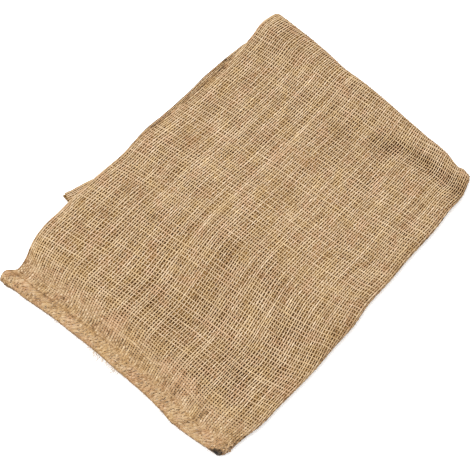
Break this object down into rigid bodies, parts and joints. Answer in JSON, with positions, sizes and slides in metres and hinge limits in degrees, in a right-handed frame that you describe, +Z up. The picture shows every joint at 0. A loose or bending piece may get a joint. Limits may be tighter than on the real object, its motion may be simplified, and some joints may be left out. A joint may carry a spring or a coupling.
{
  "type": "folded jute bag",
  "caption": "Empty hessian sack of open jute weave, lying flat, folded in half lengthwise with its mouth end turned under.",
  "frame": {"origin": "middle of the underside of the folded sack's box, on the surface it lies on", "axes": "+X from the sewn bottom seam to the crosswise fold, +Y from the lengthwise fold to the open edges, +Z up"},
  "size_m": [0.3808, 0.2896, 0.0148],
  "materials": {
    "hessian": "dry, matt plain weave of natural jute yarn with small gaps"
  },
  "bodies": {
    "root": {"sack": "hessian"}
  },
  "joints": []
}
